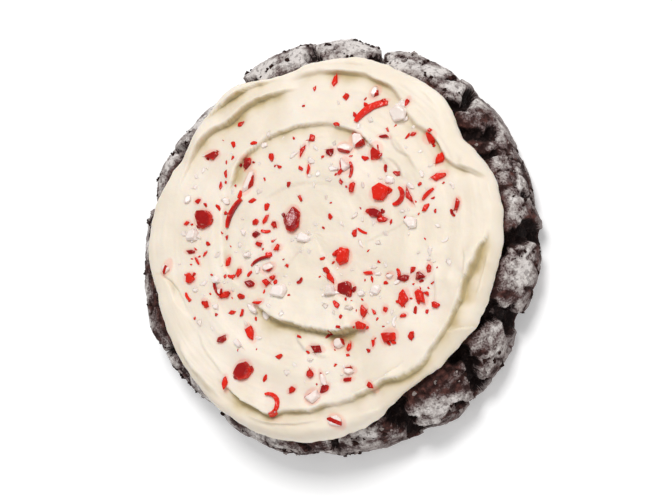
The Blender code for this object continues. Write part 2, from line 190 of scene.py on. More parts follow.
# Finer strokes of the knife: three points of a bent line, the step up on its left side, and how
# far the step reaches
Stroke = namedtuple("Stroke", "start middle end step reach")
STROKES = tuple(Stroke(*row) for row in (
    ((17, 19), (16.5, 15), (21.5, 14), 0.35, 2), ((15.5, 14.2), (18.5, 13), (19.5, 9), 0.30, 2),
    ((30.5, 11.5), (33.5, 10.5), (37, 8.5), 0.40, 2.5),
    ((37.5, 9.5), (36, 5.5), (38.5, 2.5), 0.30, 1.5),
    ((34.5, -20.5), (31, -20.5), (27.5, -21.5), 0.50, 2),
    ((32, -5), (33.5, -9), (31, -13.5), 0.45, 1.8), ((36.5, -6), (35.5, -11), (33.5, -15.5), 0.40, 1.8),
    ((23, -30), (17, -35.5), (8, -37), 0.35, 2.2), ((20, -26.5), (14, -31.5), (5.5, -33.8), 0.25, 2),
    ((-16, -36), (-8, -39.5), (2, -37.4), 0.35, 1.6),
    ((-30.5, -20), (-28.5, -26), (-22, -32), 0.35, 2.2),
    ((-26, -18), (-24, -24), (-19, -28.5), 0.18, 2), ((-37, -5), (-30, -7), (-28, -15), 0.40, 2.5),
    ((-33.5, 12), (-31, 20.5), (-25, 27), 0.40, 1.6),
    ((-30.5, 11), (-28.5, 17.5), (-24, 22.5), 0.30, 1.5),
    ((-36.5, 9), (-34.5, 17), (-30, 23), 0.35, 1.4), ((-24, 31), (-19, 33.5), (-12, 35.5), 0.40, 1.5),
    ((-20, 28.5), (-14, 32), (-7, 33.2), 0.30, 1.5),
    ((-27.5, 28.5), (-25, 27), (-24.5, 29.5), 0.45, 1.2), ((-3, 34.5), (6, 35.5), (14, 33), 0.25, 1.8),
    ((20, 30), (26.5, 25), (30, 18.5), 0.25, 2), ((-12, 7), (-4, 12.5), (6, 9), 0.14, 2.5),
    ((10, -3), (17, -1), (24, 3), 0.14, 2.5), ((24, -3), (27.5, -10), (25.5, -18), 0.20, 2.5),
    ((-4, -20), (-2.5, -25), (4, -25), 0.45, 2),
))
STROKE_WIDTH = 0.4
STROKE_DIP = 0.45
STROKE_SHADE = 0.5
STROKE_STRENGTH = 1.3
STROKE_RAGGED = 0.3
STROKE_FADE = 0.22
STROKE_STEPS = 16

# The bits of candy: centre, length, width, turn, and look: dark or bright red, white, or white
# with red along one edge, at both ends or in a line
Bit = namedtuple("Bit", "x y length width turn look", defaults=["red"])
BITS = tuple(Bit(*row) for row in (
    (-24.5, 4.5, 4.3, 4, -30, "dark"), (-15.5, -27, 4.3, 4, 20, "dark"), (-23, 18, 3.5, 2.2, 0, "dark"),
    (-15, 15.5, 3.2, 2.2, 95, "dark"), (-4.5, 3, 5.6, 3.5, 85, "dark"), (14.5, 7, 4.2, 3.6, 10),
    (13.5, 3, 3.5, 2, -25, "dark"), (20.5, 6, 4.2, 1.3, 110), (6.5, -5.5, 4, 3.4, 70),
    (16.5, -22, 3.6, 3, 30), (13.5, 15.5, 3.6, 2.9, 60), (25, 17.5, 3, 2.6, 0), (27, 13, 2.6, 2, 45),
    (27, 9.5, 3.5, 1.8, 20), (24.5, 6, 3.8, 1.1, 40), (30.5, 3.5, 2.8, 1.6, 80),
    (19.5, -14.5, 3.5, 2.4, 80), (23, -14.5, 3.8, 2.2, -60), (19.5, -10.5, 3.4, 1.5, 5, "dark"),
    (23, -10.5, 2.7, 2, 20, "dark"), (10.5, -19.5, 3.1, 2, -15), (11, -16.5, 2.7, 1.7, 85),
    (0.5, -23.5, 3.5, 1.7, -10, "dark"), (-14, -19.5, 3.9, 1.8, -65), (-19.5, -29.5, 3.2, 1.3, 85),
    (4.5, 31, 2.6, 1.4, 70), (-2.5, 17, 2.8, 1.2, 70), (8.5, 8.5, 2.5, 1.5, 80),
    (-27.5, -7.5, 2.6, 2.2, 0), (-19.5, -11.5, 2.8, 1.5, 20), (-20, -20.5, 2.5, 1.5, 25, "dark"),
    (-14, -9.5, 2.5, 1.8, -20, "dark"), (-24, -13, 2.3, 1.5, -50), (15, 1.5, 2.5, 1.5, 0),
    (13, -23, 2, 1, 80), (-1, 13, 2.8, 0.9, 85), (3.7, 16.2, 2, 1.8, 20, "dark"),
    (-19, -4.5, 2.4, 1.3, 80), (-10.5, -9.5, 2, 1.6, 30), (-12, -13.5, 2.6, 1.4, 5),
    (-8, -2.5, 2, 1.4, 0), (-0.5, -28.5, 2, 1.7, 70), (-4.5, -31.5, 2, 1.3, 25),
    (7.5, -23.5, 2, 1.3, 60), (7.5, -30, 2.6, 1, 5, "dark"), (12.5, -31.5, 2.4, 1.2, -50),
    (25, -9, 2.3, 1.2, 85), (14.5, 25.5, 3.4, 1, 15), (21.5, 18.5, 1.6, 0.8, 25),
    (15.5, 18.3, 2.5, 0.9, -8, "dark"), (12, -9, 2.2, 0.9, -5), (20.5, 25, 2, 1, 70),
    (15.5, -16.5, 1.6, 1.1, 70), (19.5, -18, 1.6, 1, 15), (4, -9.5, 3.2, 1.2, -55),
    (2.5, -31.5, 2.4, 1.8, 50, "dark"), (12, 3.5, 1.6, 1, 20), (-12.5, 0.5, 1.8, 1.5, 0, "dark"),
    (-12, -1.5, 1.6, 1.3, 0), (-8.5, 2.2, 1.6, 1.5, 0), (-10.5, 3.5, 2.3, 0.9, 55),
    (-9, -8.5, 1.4, 1.2, 0), (-16.5, -7, 2.2, 1.3, 70), (6, 12, 1.8, 0.9, 60),
    (-27.5, -2, 2.4, 1, -5, "dark"), (-26, -4, 2.2, 0.7, -55), (-26, 8.5, 1.6, 1.2, 0),
    (-28.5, 4, 1.5, 0.9, 20), (18.5, 23, 4.2, 3.9, 30, "white"), (-27, 1.5, 3.2, 2.6, 30, "white"),
    (21, 0.5, 3.8, 2.2, 0, "white"), (-2, -1, 3.8, 2.6, -10, "white"), (4, -12.5, 3.2, 2.9, 0, "white"),
    (13.5, -12.5, 2.6, 2.2, 0, "white"), (-13.5, -14.5, 2.8, 1.5, -50, "white"),
    (-11, -15.8, 3, 1.6, -75, "white"), (10.5, -13, 1.8, 1.5, 0, "white"),
    (8, -15.8, 2.4, 1.4, 25, "white"), (-21.5, -8.3, 2, 1.8, 20, "white"),
    (-14.5, -3.5, 1.7, 1.6, 0, "white"), (-21.5, -13.8, 1.8, 1.4, 0, "white"),
    (16.5, 9.5, 2.6, 1.7, -10, "white"), (4.5, 12.7, 2.8, 1.3, -15, "white"),
    (-16.5, -21.5, 2.4, 1.8, 5, "white"), (12.5, 22, 1.8, 1.3, 0, "white"),
    (14, -9.2, 1.8, 1, 0, "white"), (9.5, 18.2, 3.6, 3, -50, "ends"),
    (5.2, -22.5, 2.9, 2.4, 200, "ends"), (0, -33, 3.3, 3, 215, "edge"),
    (2.2, -30, 4.4, 1.2, -70, "ends"), (-14.5, 11.5, 5, 2.2, 65, "edge"), (-33, -5, 3.6, 2, 65, "line"),
    (7, 13.3, 3.2, 2.3, -75, "edge"), (-10, -6.5, 3.2, 2, 20, "edge"),
    (4.5, -38, 3.6, 2.6, -25, "line"), (8, -28.2, 2.6, 1.6, 175, "edge"),
    (16.5, -9.8, 1.8, 1.4, 200, "edge"), (-20.8, -10.8, 2.6, 1.3, 80, "edge"),
    (13.3, 27.8, 2.8, 2, 60, "edge"), (6.8, 16.8, 3.4, 2.4, -10, "edge"),
    (7.2, -11.9, 4, 3.1, -15, "dark"), (-7, -11.6, 4, 3, 25, "white"),
))

# Curled strips of candy: centre, length along the strip, width, the way its back faces, how far
# it turns from end to end, and look
Curl = namedtuple("Curl", "x y length width turn bend look")
CURLS = (
    Curl(13.0, 23.2, 7.8, 1.5, 118, 62, "red"),
    Curl(-8.0, -34.0, 7.4, 0.9, 8, 195, "red"),
    Curl(18.8, 5.8, 4.8, 1.0, -20, 150, "red"),
    Curl(-16.8, 4.8, 6.8, 1.1, 150, 50, "dark"),
    Curl(-21.0, -9.8, 4.6, 0.6, 200, 70, "dark"),
    Curl(7.8, 12.2, 3.4, 0.6, 0, 60, "dark"),
    Curl(-11.5, -5.4, 4.6, 0.6, 110, 60, "dark"),
)
CURL_THICKNESS = 0.8
CURL_STEPS = 10
CURL_CHAMFER = 0.22
CURL_TIP = 0.55
CURL_CENTRE = 0.8
CURL_TILT = 4
DRAPE = 0.8

# Small bits at random, more often near the larger ones: flecks, clear chips and curled slivers
FLECKS = 170
FLECK_LENGTH = (0.6, 2.3)
FLECK_WIDTH = (0.4, 0.8)
FLECK_THICKNESS = 0.6
FLECK_RISE = 0.12
FLECK_TILT = 20
FLECK_LOOKS = ("red", "red", "red", "white")
CHIPS = 60
CHIP_LENGTH = (0.8, 2.2)
CHIP_RISE = -0.1
SMALL_CROWDING = 1.5
SLIVERS = 16
SLIVER_LENGTH = (1.3, 2.6)
SLIVER_WIDTH = (0.5, 0.8)
SLIVER_THICKNESS = 0.5
SLIVER_RISE = 0.1
SLIVER_BEND = (20, 130)
SLIVER_TILT = 10
SLIVER_LOOKS = ("red", "red", "dark", "white")
FLECK_FIELD = 31.0
FIELD_SHIFT = -1.5
CLUSTER_SHARE = 0.65
CLUSTER_REACH = 2.1

# Splinters broken off the larger bits: how many, and their shares of the bit that they come from
SPLINTERS = 2
SPLINTERED_WIDTH = 2
SPLINTER_REACH = 0.46
SPLINTER_LENGTH = (0.35, 0.6)
SPLINTER_WIDTH = (0.5, 0.8)
SPLINTER_THICKNESS = 0.7
SPLINTER_RISE = 0.2
SPLINTER_TILT = 25

# Shape of a bit: corners, its three levels and how far each spreads, and the lean of its top
SHARD_CORNERS = (4, 5, 5, 6)
WIDE_BIT = 3
SHARD_JITTER = 0.38
SHARD_REACH = (0.85, 1.15)
SHARD_LEVELS = (-0.5, 0.05, 0.5)
SHARD_SPREADS = (0.9, 1.0)
SHARD_TOP = (0.6, 0.9)
SHARD_LEAN = 0.2
UNEVEN = (0.93, 1.07)
BIT_THICKNESS = 0.5
LEAST_THICKNESS = 0.6
THICK_LOOKS = ("white", "edge", "ends")
THICKER = 1.25
BIT_SUNK = 0.25
BIT_TILT = 12
BIT_BEVEL = 0.22
BIT_BEVEL_SHARE = 0.14
ROUGHENED_WIDTH = 1.4
ROUGHENED_EDGE = 0.5
ROUGHENING = 0.09
ROUGHENING_SIZE = 0.55

# Brightness of the plain looks, and where the stripes of the striped ones start and end
TONES = {"dark": (0.0, 0.2), "red": (0.5, 1.0), "white": (0.4, 1.0), "clear": (0.3, 0.8)}
# Painted glow of light through the thin rims of the bits
PAINTED_RIM_GLOW = 0.6
STRIPES = {"edge": (0.1, 0.85), "ends": (0.12, 1.25), "line": (-0.45, 0.75)}
STAIN_START = 0.1
STAIN_REACH = 0.4

# Crumbs: how deep in the cracks, how low and how far in they lie
CRUMBS = 600
CRUMB_SIZE = (0.3, 1.1)
CRUMB_CROWDING = 2.5
CRUMB_HOLLOW = (0.1, 0.7)
CRUMB_LOWEST = 4
CRUMB_INNERMOST = 36
CRUMB_ROUGHENING = 0.9
CRUMB_LUMP = 0.45
SEED = 24

# Screen colours, from the darker to the lighter where there are two
CHOCOLATE = ((44, 21, 18), (92, 56, 50))
# Painted shade deep in the cracks
CRACK_SHADE_COLOUR = (20, 6, 4)
PIT_COLOUR = (64, 46, 42)
THIN_SUGAR = ((96, 80, 78), (136, 120, 118))
WALL_SUGAR = (150, 142, 139)
THICK_SUGAR = ((166, 156, 152), (226, 219, 215))
CREAM = ((235, 223, 205), (242, 231, 216))
# Painted shade in the frosting's creases
CREASE_SHADE_COLOUR = (200, 181, 138)
STAIN_COLOUR = (240, 140, 118)
RED = ((146, 0, 4), (228, 34, 10))
# Painted highlight on the red candy
HIGHLIGHT_PINK = (246, 168, 150)
WHITE = ((226, 212, 200), (250, 238, 232))
STRIPE_RED = ((146, 4, 2), (214, 30, 10))
STRIPE_WHITE = (244, 228, 220)
CRUMB_COLOURS = ((40, 20, 15), (158, 146, 142))

# The stage, in metres and watts
FLOOR_SIZE = 1.6
FLOOR_SHADE = 0.92
FLOOR_GLOW = 0.2
SURROUNDINGS = 0.45
Light = namedtuple("Light", "name place size power")
LIGHTS = (
    Light("key", (0.1, 0.42, 0.9), 0.32, 6.15),
    Light("fill", (0.5, -0.6, 0.4), 0.5, 1.2),
)

# The camera: its tilt off the cookie's axis, the side it leans to, and what it aims at
VIEW_TILT = 25.0
VIEW_SIDE = -24.0
VIEW_DISTANCE = 458.8
VIEW_AIM = (0.43, -2.27, 8.47)
VIEW_LENS = 120.0


def smooth(value):
    """Ease from 0 to 1."""
    value = np.clip(value, 0.0, 1.0)
    return value * value * (3 - 2 * value)


def turn_between(angle, start):
    """Signed angle from start to angle, -180 to 180."""
    return (angle - start + 180) % 360 - 180


def read_curve(values, position):
    """Smooth curve through evenly spaced values, read at positions counted in steps."""
    values = np.asarray(values)
    index = np.clip(np.floor(position).astype(int), 0, len(values) - 2)
    before = values[np.maximum(index - 1, 0)]
    left = values[index]
    right = values[index + 1]
    after = values[np.minimum(index + 2, len(values) - 1)]
    share = position - index
    slope_left = (right - before) / 2
    slope_right = (after - left) / 2
    bend = 3 * (right - left) - 2 * slope_left - slope_right
    twist = 2 * (left - right) + slope_left + slope_right
    return left + share * (slope_left + share * (bend + share * twist))


def read_ring(values, angle):
    """Radius at angles, from values evenly spaced round the circle."""
    closed = (values[-1],) + values + values[:2]
    return read_curve(closed, (angle % 360) * len(values) / 360 + 1)


def noise_at(points, size, shift=0.0):
    """Smooth noise from -1 to 1 at points in millimetres, with lumps of a size."""
    offset = Vector((shift, 2.3 * shift, -1.7 * shift))
    flat = points.reshape(-1, 3) / size
    values = [noise.noise(Vector(point) + offset) for point in flat]
    return np.array(values).reshape(points.shape[:-1])


def layered(points, layers):
    """Sum of layers of noise at points in millimetres."""
    return sum(layer.height * noise_at(points, layer.size, layer.shift) for layer in layers)


def cell_borders(points, size):
    """Distance to the nearest border between random cells, as a share of their size."""
    flat = points.reshape(-1, 3) / size
    values = []
    for point in flat:
        distances = noise.voronoi(Vector(point))[0]
        values.append(distances[1] - distances[0])
    return np.array(values).reshape(points.shape[:-1])


def rounding(inset, reach):
    """Share of the full height at an inset from an edge that rounds over within a reach."""
    share = np.clip(inset / reach, 0.0, 1.0)
    return (1 - (1 - share) ** ROUNDNESS) ** (1 / ROUNDNESS)


def at_polar(radius, angle, height):
    """Points in millimetres at radii, angles and heights."""
    turn = np.radians(angle)
    return np.stack([radius * np.cos(turn), radius * np.sin(turn), height + 0 * turn], axis=-1)


def cookie_top(radius, angle):
    """Height of the plain cookie's upper side."""
    inset = RIM_RADIUS * (1 - radius / read_ring(RIM_RADII, angle))
    return WIDEST_HEIGHT + (COOKIE_HEIGHT - WIDEST_HEIGHT) * rounding(inset, SHOULDER_REACH)


def section(lift):
    """Radius and height of the plain section at lifts from -90 (foot) to 90 (shoulder)."""
    upper = lift > 0
    reach = np.where(upper, SHOULDER_REACH, FOOT_REACH)
    rise = np.where(upper, COOKIE_HEIGHT - WIDEST_HEIGHT, WIDEST_HEIGHT)
    across = np.clip(np.cos(np.radians(lift)), 0.0, 1.0) ** (2 / ROUNDNESS)
    up = np.abs(np.sin(np.radians(lift))) ** (2 / ROUNDNESS)
    return RIM_RADIUS - reach * (1 - across), WIDEST_HEIGHT + np.sign(lift) * rise * up


def new_object(name, data):
    """A new object of the scene."""
    item = bpy.data.objects.new(name, data)
    bpy.context.scene.collection.objects.link(item)
    return item


def show_mesh(name, points, faces, values):
    """Object of points in millimetres, joined by faces, with named values for its points."""
    mesh = bpy.data.meshes.new(name)
    mesh.from_pydata((points * MM).tolist(), [], faces)
    for label, amounts in values.items():
        attribute = mesh.attributes.new(label, "FLOAT", "POINT")
        attribute.data.foreach_set("value", amounts.astype(np.float32))
    return new_object(name, mesh)


def closed_mesh(name, rings, low, high, values):
    """Solid skin over rings of points, closed by a fan to a point at each end."""
    count, columns = rings.shape[:2]
    here = np.arange(columns)
    after = (here + 1) % columns
    faces = []
    for ring in range(count - 1):
        corner = ring * columns + here
        beside = ring * columns + after
        faces += np.stack([corner, beside, beside + columns, corner + columns], axis=1).tolist()
    last = (count - 1) * columns
    low_end = np.full(columns, count * columns)
    faces += np.stack([low_end, after, here], axis=1).tolist()
    faces += np.stack([last + here, last + after, low_end + 1], axis=1).tolist()
    points = np.concatenate([rings.reshape(-1, 3), [low, high]])
    values = {label: np.append(amounts, [0.0, 0.0]) for label, amounts in values.items()}
    item = show_mesh(name, points, faces, values)
    item.data.shade_smooth()
    return item


def ring_normals(rings):
    """Outward normals of rings of points that run upwards round a solid."""
    around = np.roll(rings, -1, axis=1) - np.roll(rings, 1, axis=1)
    along = np.gradient(rings, axis=0)
    normals = np.cross(around, along)
    return normals / np.maximum(np.linalg.norm(normals, axis=-1, keepdims=True), 1e-9)


def crack_fields(points, angle, lift):
    """Depth of the cracks, and distance to the nearest one."""
    ragged = layered(points, CRACK_RAGGED)
    uneven = 1 + layered(points, CRACK_UNEVEN)
    flare = 1 + CRACK_FLARE * smooth((lift - CRACK_FLARE_LIFT) / CRACK_FLARE_FADE)
    depth = np.zeros_like(angle)
    nearest = np.full_like(angle, RIM_RADIUS)
    for crack in CRACKS:
        sway = CRACK_SWAY * np.sin(np.radians(4 * lift + 3 * crack.top))
        line = crack.top + crack.lean * smooth((90 - lift) / 90) + sway
        offset = np.abs(turn_between(angle, line)) * math.radians(1) * RIM_RADIUS
        length = smooth((lift - crack.end) / CRACK_FADE) * smooth((crack.start - lift) / CRACK_FADE)
        half = crack.width / 2 * uneven * (CRACK_TIP + (1 - CRACK_TIP) * length) * flare
        inside = 1 - smooth(((offset + ragged) / half - CRACK_FLOOR) / CRACK_SIDE)
        depth = np.maximum(depth, crack.depth * length * inside)
        nearest = np.minimum(nearest, offset + PLATE_REACH * (1 - length))
    return depth, nearest


def crackle_at(points):
    """Fine crackle, from 0 on a plate to 1 in a line of it."""
    bend = [noise_at(points, CRACKLE_BEND_SIZE, shift) for shift in CRACKLE_BEND_SHIFTS]
    border = cell_borders(points + CRACKLE_BEND * np.stack(bend, axis=-1), CRACKLE_CELL)
    crackled = smooth(CRACKLE_SHARE + layered(points, CRACKLE_PLACES))
    return (1 - smooth(border / CRACKLE_WIDTH)) * crackled


def sugar_fields(points, angle, lift, hollow):
    """Amount of powdered sugar, and how much a point belongs to the side wall."""
    away = turn_between(angle, SNOWY_ANGLE)
    top = SUGAR_TOP + SUGAR_TOP_RISE * smooth(1 - (away / SUGAR_TOP_REACH) ** 2)
    above_wall = smooth((lift - SUGAR_WALL_LIFT) / SUGAR_WALL_FADE)
    coat = smooth((top - lift) / SUGAR_TOP_FADE) * smooth((lift - SUGAR_FOOT_LIFT) / SUGAR_FOOT_FADE)
    coat = coat * (SUGAR_WALL_SHARE + (1 - SUGAR_WALL_SHARE) * above_wall)
    snowy = smooth(1 - np.abs(away) / SNOWY_REACH)
    wall = smooth((WALL_LIFT - lift) / WALL_FADE)
    patchy = (1 + snowy) / 2 + layered(points, SUGAR_PATCHES) * (1 - WALL_EVENNESS * wall)
    return np.clip(coat * patchy - SUGAR_HOLLOW_LOSS * hollow, 0, 1), wall


def make_crust():
    """The cookie: plates puffed up between cracks, with crackle, lumps and sugar."""
    angle = np.tile(np.arange(COOKIE_COLUMNS) * 360 / COOKIE_COLUMNS, (COOKIE_RINGS, 1))
    lift = np.linspace(-90, 90, COOKIE_RINGS)[:, None] + np.zeros_like(angle)
    radius, height = section(lift)
    radius = radius * read_ring(RIM_RADII, angle) / RIM_RADIUS
    rings = at_polar(radius, angle, height)
    normals = ring_normals(rings)
    depth, nearest = crack_fields(rings, angle, lift)
    puff = PLATE_PUFF * (1 - np.exp(-(nearest / PLATE_REACH) ** 2))
    rough = ROUGH_HEIGHT * noise_at(rings, ROUGH_SIZE)
    crackle = crackle_at(rings)
    uncovered = smooth((radius - read_ring(EDGE_RADII, angle)) / COVER_FADE + COVER_SHARE)
    above_foot = smooth((lift - FOOT_LIFT) / FOOT_FADE)
    relief = puff + rough + layered(rings, LUMPS) - CRACKLE_DEPTH * crackle
    relief = relief * uncovered * above_foot - depth
    rings = rings + normals * relief[..., None]
    # How deep a point lies in a crack or a crackle line: it keeps sugar off, places crumbs, and sets the
    # painted shade there
    hollow = np.clip(depth / HOLLOW_DEPTH, 0, 1)
    hollow = np.maximum(hollow, CRACKLE_SHADE * crackle * uncovered)
    sugar, wall = sugar_fields(rings, angle, lift, hollow)
    low = (0.0, 0.0, 0.0)
    high = (0.0, 0.0, COOKIE_HEIGHT)
    return closed_mesh("crust", rings, low, high, {"sugar": sugar, "hollow": hollow, "wall": wall})


def lip_profile(over, width, dip, high_reach, low_reach):
    """Rise across a lip from its low side, where over is below 0, and the shade at its foot."""
    high = smooth(over / width + 0.5)
    below = np.minimum(over, 0.0)
    lowered = dip * (1 - high) * np.exp(below / low_reach)
    near = (1 - SHADE_SHARE) * np.exp(below / SHADE_REACH)
    shade = (1 - high) * (near + SHADE_SHARE * np.exp(below / SHADE_SPREAD))
    return high * np.exp(-np.maximum(over, 0.0) / high_reach) - lowered, shade


def lip_parts(lip, radius, angle, ragged, varied):
    """Height that one lip of the knife adds, and the shade at its foot."""
    span = lip.end - lip.start
    along = (angle - lip.start) % 360
    line = read_curve(lip.radii, np.clip(along / span, 0, 1) * (len(lip.radii) - 1))
    line = line + lip.ragged * ragged
    strength = lip.step * smooth(along / LIP_FADE) * smooth((span - along) / LIP_FADE) * (along <= span)
    strength = strength * (1 + STEP_VARIED * varied)
    width = lip.width * np.exp(-WIDTH_VARIED * varied)
    high_reach = PLANE_REACH if lip.side < 0 else LIP_HIGH_REACH
    over = (radius - line) * lip.side
    rise, shade = lip_profile(over, width, lip.dip, high_reach, LIP_LOW_REACH)
    return strength * rise, strength * shade


def stroke_parts(stroke, places, ragged, varied):
    """Height that one stroke of the knife adds, and the shade at its foot."""
    start, middle, end = (np.array(point) for point in (stroke.start, stroke.middle, stroke.end))
    shares = np.linspace(0, 1, STROKE_STEPS + 1)[:, None]
    line = (1 - shares) ** 2 * start + 2 * shares * (1 - shares) * middle + shares ** 2 * end
    nearest = np.full(places.shape[:-1], np.inf)
    over = np.zeros_like(nearest)
    along = np.zeros_like(nearest)
    for step, (low, high) in enumerate(zip(line, line[1:])):
        way = high - low
        offset = places[..., :2] - low
        share = np.clip(offset @ way / (way @ way), 0, 1)
        distance = np.linalg.norm(offset - share[..., None] * way, axis=-1)
        side = np.sign(way[0] * offset[..., 1] - way[1] * offset[..., 0])
        closer = distance < nearest
        nearest = np.where(closer, distance, nearest)
        over = np.where(closer, distance * side, over)
        along = np.where(closer, (step + share) / STROKE_STEPS, along)
    strength = stroke.step * smooth(along / STROKE_FADE) * smooth((1 - along) / STROKE_FADE)
    strength = strength * (STROKE_STRENGTH + varied)
    over = over + STROKE_RAGGED * ragged
    rise, shade = lip_profile(over, STROKE_WIDTH, STROKE_DIP, stroke.reach, stroke.reach)
    return strength * rise, STROKE_SHADE * strength * shade


def frosting_top(radius, angle):
    """Height of the frosting's spread top away from its edge, and the shade in its creases."""
    places = at_polar(radius, angle, 0.0)
    turn = np.radians(angle)
    swept = np.stack([radius / SWEEP_STEP, SWEEP_TURN * np.cos(turn), SWEEP_TURN * np.sin(turn)], axis=-1)
    streaks = layered(swept, STREAKS)
    planes = layered(swept, PLANES) * smooth(radius / PLANES_START)
    wave = WAVE_HEIGHT * noise_at(places, WAVE_SIZE)
    soft = layered(places, SOFT_LUMPS)
    crown = CROWN * (1 - (radius / FROSTING_RADIUS) ** 2)
    torn = LIP_TORN_SHARE * (1 - np.abs(layered(places, LIP_TORN)))
    ragged = layered(places, LIP_RAGGED) + torn
    varied = layered(places, LIP_VARIED)
    height = FROSTING_HEIGHT + crown + wave + soft + streaks + planes
    crease_shade = np.zeros_like(radius)
    marks = [lip_parts(lip, radius, angle, ragged, varied) for lip in LIPS]
    marks += [stroke_parts(stroke, places, ragged, varied) for stroke in STROKES]
    for rise, shade in marks:
        height = height + rise
        crease_shade = np.maximum(crease_shade, shade)
    return height, crease_shade * (1 + SHADE_VARIED * varied)


def stain_at(places):
    """How much red has run from the candy into the frosting at places."""
    stain = np.zeros(places.shape[:-1])
    for bit in BITS:
        if bit.look == "white":
            continue
        turn = math.radians(bit.turn)
        offset = places[..., :2] - (bit.x, bit.y)
        along = (offset[..., 0] * math.cos(turn) + offset[..., 1] * math.sin(turn)) / (bit.length / 2)
        across = (offset[..., 1] * math.cos(turn) - offset[..., 0] * math.sin(turn)) / (bit.width / 2)
        beyond = (np.hypot(along, across) - 1) * (bit.length + bit.width) / 4
        stain = np.maximum(stain, smooth(1 - (beyond - STAIN_START) / STAIN_REACH))
    return stain


def make_frosting():
    """The frosting: underside, rounded edge and swirled top."""
    turns = np.arange(FROSTING_COLUMNS) * 360 / FROSTING_COLUMNS
    brink = at_polar(FROSTING_RADIUS, turns, 0.0)
    edge = read_ring(EDGE_RADII, turns) + layered(brink, EDGE_RAGGED)
    waist = cookie_top(edge, turns) + GAP + WAIST_RISE
    rounds = 1 - np.cos(np.linspace(0, math.pi / 2, EDGE_RINGS))
    inset_under = np.append(UNDER_INSETS, (UNDER_ROUND * rounds)[:0:-1])[:, None] + 0 * edge
    rounded = (TOP_ROUND * rounds)[:, None] + 0 * edge
    shares = np.linspace(0, 1, TOP_RINGS)[1:-1, None] ** RING_CROWDING
    inset_top = np.concatenate([rounded, TOP_ROUND + shares * (edge - TOP_ROUND)])
    angle_under = turns + 0 * inset_under
    radius_under = edge - inset_under
    gone = rounding(inset_under, UNDER_ROUND)
    under = waist - (waist - cookie_top(radius_under, angle_under) - GAP) * gone
    angle_top = turns + 0 * inset_top
    radius_top = edge - inset_top
    top, crease_shade = frosting_top(radius_top, angle_top)
    upper = waist + (top - waist) * rounding(inset_top, TOP_ROUND)
    rings = np.concatenate([at_polar(radius_under, angle_under, under),
                            at_polar(radius_top, angle_top, upper)])
    crease_shade = np.concatenate([0 * radius_under, crease_shade])
    stain = stain_at(rings)
    middle, _ = frosting_top(np.zeros(1), np.zeros(1))
    low = (0.0, 0.0, COOKIE_HEIGHT + GAP)
    high = (0.0, 0.0, middle[0])
    return closed_mesh("frosting_swirl", rings, low, high, {"crease_shade": crease_shade, "stain": stain})


def frosting_height(x, y):
    """Height of the frosting's surface at places."""
    radius = np.hypot(x, y)
    angle = np.degrees(np.arctan2(y, x)) % 360
    top, _ = frosting_top(radius, angle)
    edge = read_ring(EDGE_RADII, angle)
    waist = cookie_top(edge, angle) + GAP + WAIST_RISE
    return waist + (top - waist) * rounding(edge - radius, TOP_ROUND)


def add_mesh(parts, bm, place, values, drape=0.0):
    """Add a small mesh to a list of parts, moved to its place, with values for its points."""
    bm.verts.ensure_lookup_table()
    local = np.array([vert.co for vert in bm.verts])
    moved = np.array([place @ vert.co for vert in bm.verts])
    faces = [[vert.index for vert in face.verts] for face in bm.faces]
    bm.free()
    if drape:
        middle = place.translation
        level = frosting_height(np.array([middle.x]), np.array([middle.y]))
        moved[:, 2] += drape * (frosting_height(moved[:, 0], moved[:, 1]) - level)
    parts.append((moved, faces, {label: rule(local) for label, rule in values.items()}))


def join_parts(name, parts):
    """One object out of a list of parts."""
    faces = []
    start = 0
    for moved, part_faces, _ in parts:
        faces += [[index + start for index in face] for face in part_faces]
        start += len(moved)
    points = np.concatenate([moved for moved, _, _ in parts])
    labels = parts[0][2].keys()
    values = {label: np.concatenate([part[2][label] for part in parts]) for label in labels}
    return show_mesh(name, points, faces, values)


def shard_mesh(length, width, thickness, rng):
    """A broken bit of hard candy: an uneven flat polygon with chipped, slightly rounded edges."""
    bm = bmesh.new()
    corners = rng.choice(SHARD_CORNERS) + (width > WIDE_BIT)
    start = rng.uniform(0, 360)
    lean = (rng.uniform(-SHARD_LEAN, SHARD_LEAN), rng.uniform(-SHARD_LEAN, SHARD_LEAN))
    for corner in range(corners):
        turn = math.radians(start + 360 * (corner + rng.uniform(-SHARD_JITTER, SHARD_JITTER)) / corners)
        reach = rng.uniform(*SHARD_REACH)
        spreads = (*SHARD_SPREADS, rng.uniform(*SHARD_TOP))
        for level, spread in zip(SHARD_LEVELS, spreads):
            across = reach * spread * rng.uniform(*UNEVEN)
            along, aside = across * math.cos(turn), across * math.sin(turn)
            if level == SHARD_LEVELS[-1]:
                level += lean[0] * along + lean[1] * aside
            bm.verts.new((length / 2 * along, width / 2 * aside, thickness * level))
    hull = bmesh.ops.convex_hull(bm, input=bm.verts)
    inside = [item for item in hull["geom_interior"] if isinstance(item, bmesh.types.BMVert)]
    bmesh.ops.delete(bm, geom=inside, context="VERTS")
    bmesh.ops.dissolve_limit(bm, angle_limit=math.radians(4), verts=bm.verts, edges=bm.edges)
    bevel = min(BIT_BEVEL, BIT_BEVEL_SHARE * width)
    sharp = bm.edges[:] + bm.verts[:]
    bmesh.ops.bevel(bm, geom=sharp, offset=bevel, segments=2, profile=0.6, affect="EDGES")
    if width > ROUGHENED_WIDTH:
        long_edges = [edge for edge in bm.edges if edge.calc_length() > ROUGHENED_EDGE]
        bmesh.ops.subdivide_edges(bm, edges=long_edges, cuts=2, use_grid_fill=True)
        shift = Vector((rng.uniform(0, 90), 0, 0))
        bm.normal_update()
        for vert in bm.verts:
            vert.co += vert.normal * ROUGHENING * noise.noise(vert.co / ROUGHENING_SIZE + shift)
    bm.verts.index_update()
    return bm


